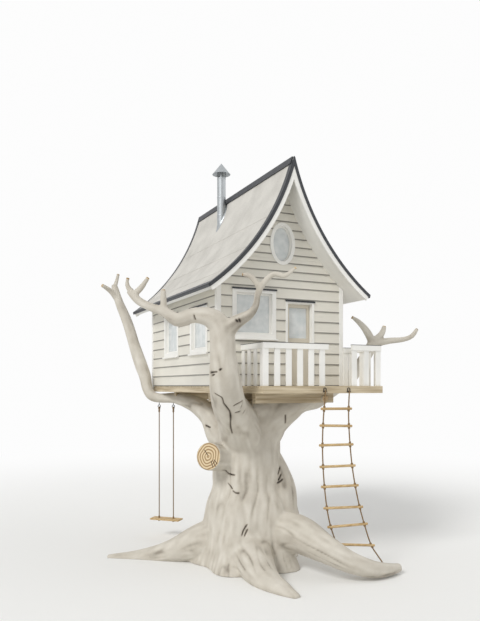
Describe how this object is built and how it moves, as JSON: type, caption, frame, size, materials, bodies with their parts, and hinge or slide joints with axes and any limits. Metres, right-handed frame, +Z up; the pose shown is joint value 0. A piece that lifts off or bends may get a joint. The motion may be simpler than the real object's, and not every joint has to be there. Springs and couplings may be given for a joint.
{
  "type": "tree house",
  "caption": "Timber cabin with a swept gable roof and railed porch, carried in the fork of a bare old tree, with a rope ladder and a swing.",
  "frame": {"origin": "on the ground under the trunk, in the flat face that the root flare rests on", "axes": "+X to the right along the cabin's front wall, +Y to the back of the cabin, +Z up"},
  "size_m": [6.3932, 6.3491, 8.04],
  "materials": {
    "bark": "smooth grey-brown bark",
    "painted_siding": "satin exterior paint",
    "white_trim": "satin exterior paint",
    "door_paint": "satin exterior paint",
    "glass": "clear float glass",
    "roof_felt": "mineral felt",
    "ridge_metal": "folded dark sheet",
    "deck_timber": "planed softwood",
    "pale_wood": "turned and sanded",
    "rope": "three-strand natural fibre",
    "galvanised": "galvanised",
    "black_iron": "black paint"
  },
  "bodies": {
    "house": {"trunk": "bark", "front_limb": "bark", "left_limb": "bark", "right_limb": "bark", "porch_limb": "bark", "front_wall_left": "painted_siding", "front_wall_right": "painted_siding", "front_gable": "painted_siding", "back_wall": "painted_siding", "left_wall": "painted_siding", "right_wall": "painted_siding", "corner_boards": "white_trim", "front_window_frames": "white_trim", "back_window_frames": "white_trim", "left_window_frames": "white_trim", "right_window_frames": "white_trim", "door_frame": "white_trim", "barge_boards": "white_trim", "front_window_glass": "glass", "back_window_glass": "glass", "left_window_glass": "glass", "right_window_glass": "glass", "roof_left": "roof_felt", "roof_right": "roof_felt", "ridge_cap": "ridge_metal", "floor_bearers": "deck_timber", "floor_frame": "deck_timber", "floor_boards": "deck_timber", "porch_frame": "deck_timber", "porch_boards": "deck_timber", "railing_left": "deck_timber", "railing_front_left": "deck_timber", "railing_front_right": "deck_timber", "railing_right": "deck_timber", "ladder_rungs": "pale_wood", "ladder_rope_left": "rope", "ladder_rope_right": "rope", "stove_pipe": "galvanised", "pipe_collar": "galvanised", "pipe_cap": "galvanised", "ladder_hooks": "black_iron", "swing_eyes": "black_iron", "hinge_pins": "black_iron"},
    "door": {"door_leaf": "door_paint", "door_glass": "glass", "door_hinges": "black_iron", "door_knobs": "black_iron"},
    "swing": {"swing_rope_left": "rope", "swing_rope_right": "rope", "swing_seat": "pale_wood"}
  },
  "joints": [
    {"name": "door_hinge", "type": "hinge", "parent": "house", "child": "door", "pos_m": [0.3905, -0.643, 4.05], "axis": [0, 0, 1], "range_deg": [0, 100]},
    {"name": "swing_pivot", "type": "hinge", "parent": "house", "child": "swing", "pos_m": [-0.8425, 2.4475, 2.827], "axis": [0.7217, -0.6922, 0], "range_deg": [-30, 30]}
  ]
}
